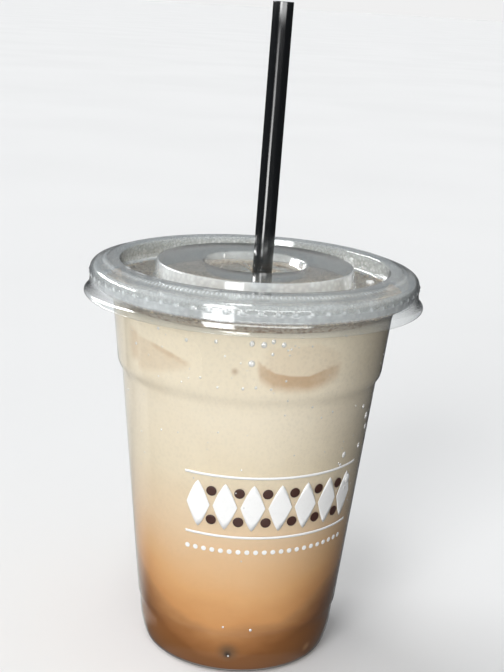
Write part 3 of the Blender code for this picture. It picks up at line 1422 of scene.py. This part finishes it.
@dataclass
class Condensation:
    """Drops of water on the cup's wall and on the lid."""

    fine_count: int = 200
    fine_sizes: tuple[float, float] = (0.12 * MM, 0.32 * MM)
    fine_band: tuple[float, float] = (30.0, 111.0)  # heights in mm
    # azimuth, height in mm and half width in mm of the drops that stand out
    large: tuple[tuple[float, float, float], ...] = (
        (0.5, 107.9, 0.75), (5.0, 107.7, 0.85), (8.5, 108.7, 0.6), (12.5, 107.8, 0.7),
        (0.8, 102.1, 1.0), (8.5, 105.0, 0.45), (-25.0, 106.8, 0.5), (-13.0, 107.6, 0.5),
        (-38.0, 108.4, 0.45), (-52.0, 101.5, 0.45), (59.3, 61.6, 1.3), (58.0, 58.6, 0.6),
        (69.6, 80.0, 1.1), (72.0, 76.0, 0.9), (63.0, 84.0, 0.7), (66.0, 71.0, 0.8),
        (52.0, 70.5, 0.9), (50.5, 67.5, 0.5), (-2.0, 94.5, 0.4), (3.0, 95.0, 0.4),
        (-12.0, 94.2, 0.35), (9.0, 94.6, 0.35), (-6.0, 16.8, 0.35), (9.0, 16.2, 0.45),
        (-2.4, 6.6, 0.3),
    )
    seed: int = 23
    reach: float = 0.5 * MM  # how far up and down the wall's slope is read
    flatness: float = 0.3  # how far a drop on the cup stands out, as a share of its half width
    # azimuth, then in mm distance from the axis, height, and half size along the rim, outwards and up
    on_lid: tuple[tuple[float, ...], ...] = (
        (-62.8, 41.0, 122.0, 2.1, 0.4, 0.2),
        (-51.5, 41.0, 122.0, 3.0, 0.45, 0.2),
        (-41.3, 41.0, 122.0, 2.2, 0.4, 0.2),
        (98.0, 35.8, 116.8, 1.6, 1.4, 0.7),
        (-15.7, 42.8, 122.0, 2.6, 0.7, 0.15),
        (-140.0, 15.2, 121.0, 0.3, 0.25, 0.8),
        (128.0, 15.2, 121.0, 0.35, 0.25, 0.8),
    )

    def on_cup(self, cup: Cup, finish: Water) -> bpy.types.Object:
        """Makes the drops on the cup's wall.

        Args:
            cup: the cup.
            finish: the water.

        Returns:
            All drops as one mesh.
        """
        rng = np.random.default_rng(self.seed)
        rows = list(self.large)
        while len(rows) < len(self.large) + self.fine_count:
            size = rng.uniform(*self.fine_sizes) / MM
            rows.append((rng.uniform(-180, 180), rng.triangular(*self.fine_band, self.fine_band[1]), size))
        places, sizes, ways = [], [], []
        for azimuth, height, half in rows:
            angle = math.radians(azimuth)
            z = height * MM
            radius = float(cup.wall_radius(z))
            widening = float(cup.wall_radius(z + self.reach)) - float(cup.wall_radius(z - self.reach))
            slope = widening / (2 * self.reach)
            side = Vector((math.cos(angle), math.sin(angle), 0.0))
            out = Vector((math.sin(angle), -math.cos(angle), -slope)).normalized()
            up = out.cross(side)
            places.append((radius * math.sin(angle), -radius * math.cos(angle), z))
            sizes.append((half * MM, half * MM * self.flatness, half * MM * rng.uniform(1.0, 1.25)))
            ways.append([side[:], out[:], up[:]])
        drops = pebbles("cup_drops", np.array(places), np.array(sizes), np.array(ways))
        return add_piece(drops, finish.make())

    def over_lid(self, finish: Water) -> bpy.types.Object:
        """Makes the drops that lie on the lid.

        Args:
            finish: the water.

        Returns:
            All drops as one mesh.
        """
        places, sizes, ways = [], [], []
        for azimuth, away, height, along, across, up in self.on_lid:
            angle = math.radians(azimuth)
            side = (math.cos(angle), math.sin(angle), 0.0)
            out = (math.sin(angle), -math.cos(angle), 0.0)
            places.append((away * MM * out[0], away * MM * out[1], height * MM))
            sizes.append((along * MM, across * MM, up * MM))
            ways.append([side, out, (0.0, 0.0, 1.0)])
        drops = pebbles("lid_drops", np.array(places), np.array(sizes), np.array(ways))
        return add_piece(drops, finish.make())


class Motif(enum.Enum):
    """The plain shapes of the printed ornament."""

    LOZENGE = "lozenge"
    DOT = "dot"
    RULE = "rule"


@dataclass
class Ornament:
    """A plain printed band: tall lozenges with small dots between them, between thin rules."""

    start: float = -27.0  # azimuths in degrees
    end: float = 64.0
    count: int = 7
    middle: float = 57.0 * MM
    lozenge_half_height: float = 7.4 * MM
    lozenge_half_width: float = 3.6 * MM
    dot_radius: float = 1.55 * MM
    dot_rise: float = 4.6 * MM
    rule_gap: float = 9.6 * MM
    rule_width: float = 0.8 * MM
    bead_height: float = 42.6 * MM
    bead_radius: float = 0.75 * MM
    bead_start: float = 1.0  # degrees after the band's start
    bead_pitch: float = 4.3  # degrees
    thickness: float = 0.06 * MM
    thinnest: float = 0.02 * MM  # half the height that a shape keeps at its pointed ends
    column: float = 0.45 * MM  # how wide each column of faces is
    rows: int = 6  # how many faces a column of a lozenge or dot has

    def half_height(self, motif: Motif, share: float, half: float) -> float:
        """How tall half a motif is at a place across it.

        Args:
            motif: the shape.
            share: the place, from -1 at one side to 1 at the other.
            half: the motif's half height in its middle.

        Returns:
            The half height there.
        """
        if motif is Motif.LOZENGE:
            return half * (1 - abs(share) ** 1.35)
        if motif is Motif.DOT:
            return half * math.sqrt(max(0.0, 1 - share * share))
        return half

    def patch(
        self, cup: Cup, motif: Motif, azimuth: float, height: float, half_width: float, half_height: float
    ) -> tuple[np.ndarray, Faces]:
        """One printed shape as a thin closed body on the cup's wall.

        Args:
            cup: the cup that it is printed on.
            motif: the shape.
            azimuth: where its middle is, in degrees.
            height: the height of its middle.
            half_width: half its width along the wall.
            half_height: half its height.

        Returns:
            The body's points and faces.
        """
        columns = max(8, 2 * round(half_width / self.column))
        rows = 1 if motif is Motif.RULE else self.rows
        shares = np.linspace(-1, 1, columns + 1)
        if motif is not Motif.RULE:
            shares = np.sin(shares * math.pi / 2)
        radius = float(cup.wall_radius(height))
        points = []
        for lift in (self.thickness, -self.thickness):
            for share in shares:
                tall = max(self.half_height(motif, float(share), half_height), self.thinnest)
                angle = math.radians(azimuth) + share * half_width / radius
                for row in range(rows + 1):
                    z = height + tall * (2 * row / rows - 1)
                    out = float(cup.wall_radius(z)) + lift
                    points.append((out * math.sin(angle), -out * math.cos(angle), z))
        per = rows + 1
        back = len(shares) * per
        faces = []
        for c in range(columns):
            for r in range(rows):
                a, b = c * per + r, (c + 1) * per + r
                faces.append((a, b, b + 1, a + 1))
                faces.append((back + a, back + a + 1, back + b + 1, back + b))
            low, high = c * per, (c + 1) * per
            faces.append((low, back + low, back + high, high))
            faces.append((low + rows, high + rows, back + high + rows, back + low + rows))
        for r in range(rows):
            last = columns * per + r
            faces.append((r, r + 1, back + r + 1, back + r))
            faces.append((last, back + last, back + last + 1, last + 1))
        return np.array(points), faces

    def join(self, name: str, patches: list[tuple[np.ndarray, Faces]]) -> bpy.types.Object:
        """Joins printed shapes into one object.

        Args:
            name: the object's name.
            patches: the shapes' points and faces.

        Returns:
            The object.
        """
        points, faces, first = [], [], 0
        for own_points, own_faces in patches:
            points.append(own_points)
            faces += [tuple(first + i for i in f) for f in own_faces]
            first += len(own_points)
        return mesh_object(name, np.concatenate(points), faces)

    def build(self, cup: Cup, white: Ink, brown: Ink) -> list[bpy.types.Object]:
        """Makes the ornament.

        Args:
            cup: the cup that it is printed on.
            white: the ink of lozenges, rules and beads.
            brown: the ink of the dots.

        Returns:
            The white and the brown print.
        """
        pitch = (self.end - self.start) / self.count
        pale, dark = [], []
        for i in range(self.count):
            azimuth = self.start + pitch * (i + 0.5)
            size = (self.lozenge_half_width, self.lozenge_half_height)
            pale.append(self.patch(cup, Motif.LOZENGE, azimuth, self.middle, *size))
            dot = (self.dot_radius, self.dot_radius)
            if i < self.count - 1:
                for rise in (-self.dot_rise, self.dot_rise):
                    dark.append(self.patch(cup, Motif.DOT, azimuth + pitch / 2, self.middle + rise, *dot))
        middle = (self.start + self.end) / 2
        for rise in (-self.rule_gap, self.rule_gap):
            height = self.middle + rise
            half = math.radians(self.end - self.start) / 2 * float(cup.wall_radius(height))
            pale.append(self.patch(cup, Motif.RULE, middle, height, half, self.rule_width / 2))
        azimuth = self.start + self.bead_start
        while azimuth < self.end:
            size = (self.bead_radius, self.bead_radius)
            pale.append(self.patch(cup, Motif.DOT, azimuth, self.bead_height, *size))
            azimuth += self.bead_pitch
        white_print = add_piece(self.join("ornament_white", pale), white.make())
        brown_print = add_piece(self.join("ornament_brown", dark), brown.make())
        return [white_print, brown_print]


@dataclass(frozen=True)
class Window:
    """A soft bright patch of the studio's surroundings, as seen from the cup. Angles are in degrees."""

    azimuth: float
    half_width: float
    low: float
    high: float
    soft: float
    light: Colour

    def add(self, graph: Graph, way: Socket, before: Colour | Socket) -> Socket:
        """Adds the patch to the surroundings' colour.

        Args:
            graph: the world's nodes.
            way: the direction that is looked at.
            before: the colour so far.

        Returns:
            The new colour's socket.
        """
        settings = {"Vector": way, "Angle": -math.radians(self.azimuth)}
        turned = graph.node("ShaderNodeVectorRotate", settings, rotation_type="Z_AXIS").outputs[0]
        x, y, z = graph.axes(turned)
        side = graph.math("ABSOLUTE", graph.math("ARCTAN2", x, graph.math("MULTIPLY", y, -1.0)))
        rise = graph.math("ARCSINE", z)
        width, soft = math.radians(self.half_width), math.radians(self.soft)
        low, high = math.radians(self.low), math.radians(self.high)
        share = graph.span(side, width - soft, width + soft, 1.0, 0.0)
        share = graph.math("MULTIPLY", share, graph.span(rise, low - soft, low + soft))
        share = graph.math("MULTIPLY", share, graph.span(rise, high - soft, high + soft, 1.0, 0.0))
        return graph.blend(share, before, self.light)


@dataclass
class Studio:
    """A pale floor, soft surroundings with bright windows left, front and overhead, and the camera."""

    clear_layers: int = 24  # how many clear faces light may pass
    floor_radius: float = 60.0
    floor_cloud: float = 0.4
    floor_colour: Colour = tone(222, 222, 222)
    backdrop: Colour = tone(240, 240, 240)
    dark: Colour = (0.04, 0.04, 0.042)  # what the surroundings are beside the windows
    # azimuth, half width, lowest, highest and softness of the edge, and the light
    windows: tuple[Window, ...] = (
        # what the table throws back
        Window(0.0, 181.0, -90.0, -45.0, 5.0, (0.35, 0.35, 0.35)),
        Window(0.0, 181.0, -45.0, -22.0, 5.0, (0.12, 0.12, 0.12)),
        # veils that show in the left edge of the wall, below and above
        Window(-145.0, 35.0, -33.0, -25.0, 2.5, (0.65, 0.65, 0.63)),
        Window(-160.0, 24.0, -25.0, -14.0, 2.5, (0.75, 0.75, 0.72)),
        # walls and ceiling
        Window(0.0, 181.0, 8.0, 56.0, 4.0, (0.5, 0.5, 0.5)),
        Window(0.0, 181.0, 56.0, 95.0, 5.0, (0.66, 0.7, 0.73)),
        # the light on the left
        Window(-117.0, 28.0, 12.5, 20.0, 1.0, (30.0, 30.0, 30.0)),
        # fill from the front, in two strips
        Window(14.0, 26.0, -24.0, -16.0, 2.0, (6.0, 6.0, 6.0)),
        Window(14.0, 26.0, 3.0, 10.0, 2.0, (6.0, 6.0, 6.0)),
        # the tall window on the front left, which makes the highlights on bead, skirt, straw and disc
        Window(-22.5, 10.5, -22.0, -6.0, 1.5, (10.0, 10.0, 10.0)),
        Window(-20.0, 8.0, -6.0, -1.5, 1.6, (5.0, 5.0, 5.0)),
        Window(-22.5, 10.5, 5.0, 34.0, 2.0, (11.5, 11.5, 11.5)),
        # a dimmer part of the wall behind, which the lid's flat parts mirror
        Window(180.0, 40.0, 10.0, 36.0, 4.0, (0.28, 0.31, 0.33)),
        # the light overhead
        Window(-18.0, 15.0, 58.0, 80.0, 2.0, (9.0, 9.0, 9.0)),
    )
    lens: float = 67.19  # lens and sensor in mm
    sensor: float = 36.0
    clip: tuple[float, float] = (0.01, 200.0)
    camera_place: tuple[float, float, float] = (0.0, -371.66 * MM, 197.62 * MM)
    camera_turn: float = -0.039  # degrees from +Y, growing towards -X
    camera_tilt: float = 14.878  # degrees below level
    camera_roll: float = 3.402  # degrees, anticlockwise as it looks

    def floor(self) -> bpy.types.Object:
        """Makes the floor.

        Returns:
            The floor, which takes shadows but neither lights nor mirrors in the cup.
        """
        sheet = Lathe([Band([(0.0, 0.0), (self.floor_radius, 0.0)], 96)]).turn("floor")
        material, graph = new_material("pale floor")
        cloudy = graph.span(graph.noise(self.floor_cloud, 2.0, 0.5), 0.3, 0.7)
        colour = graph.blend(cloudy, self.floor_colour, tuple(c * 0.97 for c in self.floor_colour))
        graph.finish(graph.node("ShaderNodeBsdfDiffuse", {"Color": colour}))
        sheet.data.materials.append(material)
        sheet.visible_diffuse = False
        sheet.visible_glossy = False
        return sheet

    def light(self) -> bpy.types.World:
        """Makes the surroundings that light the object.

        Returns:
            The world.
        """
        world = bpy.data.worlds.new("studio")
        bpy.context.scene.world = world
        world.use_nodes = True
        graph = Graph(world.node_tree)
        way = graph.node("ShaderNodeTexCoord").outputs["Generated"]
        colour: Colour | Socket = self.dark
        for window in self.windows:
            colour = window.add(graph, way, colour)
        lit = graph.node("ShaderNodeBackground", {"Color": colour, "Strength": 1.0})
        seen = graph.node("ShaderNodeBackground", {"Color": (*self.backdrop, 1.0), "Strength": 1.0})
        camera_ray = graph.node("ShaderNodeLightPath").outputs["Is Camera Ray"]
        both = graph.mix(camera_ray, lit, seen)
        graph.node("ShaderNodeOutputWorld", {"Surface": both.outputs[0]})
        return world

    def camera(self) -> bpy.types.Object:
        """Makes the camera.

        Returns:
            The camera, already the scene's.
        """
        data = bpy.data.cameras.new("camera")
        data.lens = self.lens
        data.sensor_width = self.sensor
        data.clip_start, data.clip_end = self.clip
        camera = bpy.data.objects.new("camera", data)
        bpy.context.scene.collection.objects.link(camera)
        turn = Matrix.Rotation(math.radians(self.camera_turn), 4, "Z")
        tilt = Matrix.Rotation(math.radians(90.0 - self.camera_tilt), 4, "X")
        roll = Matrix.Rotation(math.radians(self.camera_roll), 4, "Z")
        camera.matrix_world = Matrix.Translation(self.camera_place) @ turn @ tilt @ roll
        bpy.context.scene.camera = camera
        return camera

    def build(self) -> None:
        """Makes floor, surroundings and camera, and keeps colours as they are lit."""
        self.floor()
        self.light()
        self.camera()
        scene = bpy.context.scene
        scene.view_settings.view_transform = "Standard"
        scene.cycles.transparent_max_bounces = self.clear_layers


CUP_PLASTIC = ClearPlastic(
    name="clear cup plastic",
    clear=(0.985, 0.985, 0.98),
    mist_colour=tone(232, 234, 232),
    patches=0.2,
    drops=0.3,
    drop_size=1.2 * MM,
    # painted shade near the outline
    painted_edge_shade_colour=(0.06, 0.045, 0.03),
    edge=0.5,
    edge_power=2.2,
)
LID_PLASTIC = ClearPlastic(
    name="clear lid plastic",
    clear=(0.95, 0.96, 0.96),
    mist_colour=tone(226, 231, 233),
    patches=0.18,
    drops=0.1,
    drop_size=1.6 * MM,
    # painted shade near the outline
    painted_edge_shade_colour=(0.05, 0.055, 0.06),
    edge=0.7,
    edge_power=5.0,
)
STRAW_PLASTIC = BlackPlastic("black straw plastic", colour=tone(16, 18, 20), roughness=0.14)
LATTE = Latte(
    name="latte",
    top=112.0 * MM,
    # the side where the painted shade is least, and how much higher it lifts the brown elsewhere
    painted_lit_side=-4.0,
    rise=20.0 * MM,
    stops=(
        (2.0 * MM, tone(132, 84, 42)),
        (9.0 * MM, tone(166, 114, 68)),
        (13.6 * MM, tone(192, 140, 90)),
        (16.0 * MM, tone(212, 155, 98)),
        (26.0 * MM, tone(228, 177, 122)),
        (36.0 * MM, tone(232, 192, 146)),
        (48.0 * MM, tone(237, 211, 177)),
        (66.0 * MM, tone(241, 228, 202)),
        (84.0 * MM, tone(246, 235, 213)),
        (100.0 * MM, tone(242, 231, 208)),
    ),
    spots=(
        Spot(place=(-1.5 * MM, -30.0 * MM, 7.8 * MM), radius=4.6 * MM, colour=tone(92, 78, 62), depth=0.8),
        Spot(place=(-1.5 * MM, -30.0 * MM, 6.8 * MM), radius=1.7 * MM, colour=tone(34, 34, 34), depth=0.85),
        Spot(place=(23.0 * MM, -19.3 * MM, 5.2 * MM), radius=2.4 * MM, colour=tone(196, 150, 104), depth=0.6),
        Spot(
            place=(-3.9 * MM, -40.7 * MM, 99.3 * MM), radius=1.6 * MM, colour=tone(176, 146, 114), depth=0.6
        ),
    ),
)
FROTH = Bubbly("brown froth", dark=tone(176, 138, 98), pale=tone(248, 228, 198))
ICE = MilkyIce("ice in milk", milk=LATTE, shadow=tone(208, 180, 147))
WATER = Water("condensed water", body=0.6)
LEFT_TINTS = (
    Tint(
        rows=(
            (-59.5, 106.0, 96.0, 0.0), (-55.6, 105.6, 96.2, 0.42), (-52.6, 105.2, 96.8, 0.5),
            (-50.4, 104.6, 97.4, 0.2), (-48.0, 104.0, 98.0, 0.0),
        ),
        soft_above=2.2 * MM, soft_below=2.8 * MM,
    ),
    Tint(
        rows=(
            (-52.0, 104.2, 94.0, 0.3), (-41.7, 103.5, 95.0, 0.3), (-32.5, 102.0, 96.5, 0.32),
            (-25.5, 100.4, 98.2, 0.25), (-22.5, 99.9, 99.2, 0.0),
        ),
        soft_above=1.0 * MM, soft_below=2.8 * MM,
    ),
    Tint(
        rows=(
            (-46.0, 103.8, 102.4, 0.0), (-41.0, 103.4, 101.7, 0.6), (-32.0, 101.9, 100.1, 0.65),
            (-26.0, 100.5, 98.8, 0.55), (-23.0, 99.9, 98.8, 0.0),
        ),
        soft_above=0.9 * MM, soft_below=1.6 * MM,
    ),
)
RIGHT_TINTS = (
    Tint(
        rows=(
            (2.6, 103.6, 100.0, 0.0), (4.6, 101.9, 97.2, 0.75), (10.0, 99.4, 94.9, 0.95),
            (16.1, 98.5, 94.2, 1.0), (24.4, 98.2, 94.1, 1.0), (30.8, 99.8, 95.0, 0.85),
            (37.0, 100.9, 96.8, 0.55), (39.8, 101.3, 98.2, 0.0),
        ),
        soft_above=0.9 * MM, soft_below=4.0 * MM,
    ),
    Tint(
        rows=(
            (4.2, 105.0, 97.0, 0.0), (8.0, 106.6, 97.0, 0.2), (27.0, 107.6, 97.0, 0.2),
            (36.0, 105.0, 98.0, 0.17), (39.0, 104.0, 99.0, 0.0),
        ),
        soft_above=1.6 * MM, soft_below=1.6 * MM,
    ),
)
ICE_CUBES = (
    IceCube(
        name="ice_left", azimuth=-40.0, height=100.0 * MM, half_width=15.0 * MM, half_height=9.0 * MM,
        tints=LEFT_TINTS,
    ),
    IceCube(
        name="ice_right", azimuth=21.0, height=101.0 * MM, half_width=15.6 * MM, half_height=9.4 * MM,
        tints=RIGHT_TINTS,
    ),
)
WHITE_INK = Ink("white ink", colour=tone(243, 243, 242))
BROWN_INK = Ink("brown ink", colour=tone(66, 38, 30))


def main() -> None:
    """Builds the object piece by piece, then the room round it."""
    logging.basicConfig(level=logging.INFO, format="%(name)s: %(message)s")
    cup, lid, straw, filling = Cup(), Lid(), Straw(), Filling()
    floor = cup.floor()
    cup.build(CUP_PLASTIC)
    lid.build(LID_PLASTIC, straw, floor)
    straw.build(STRAW_PLASTIC, floor)
    inside_sheet = straw.radius - straw.sheet / 2
    filling.drink(cup, LATTE, straw.rod("way through drink", inside_sheet, floor))
    filling.froth(cup, FROTH, straw.rod("way through froth", inside_sheet, floor))
    filling.bubbles(cup, straw, FROTH)
    for cube in ICE_CUBES:
        cube.build(cup, filling, ICE)
    Ornament().build(cup, WHITE_INK, BROWN_INK)
    drops = Condensation()
    drops.on_cup(cup, WATER)
    drops.over_lid(WATER)
    Studio().build()


if __name__ == "__main__":
    main()
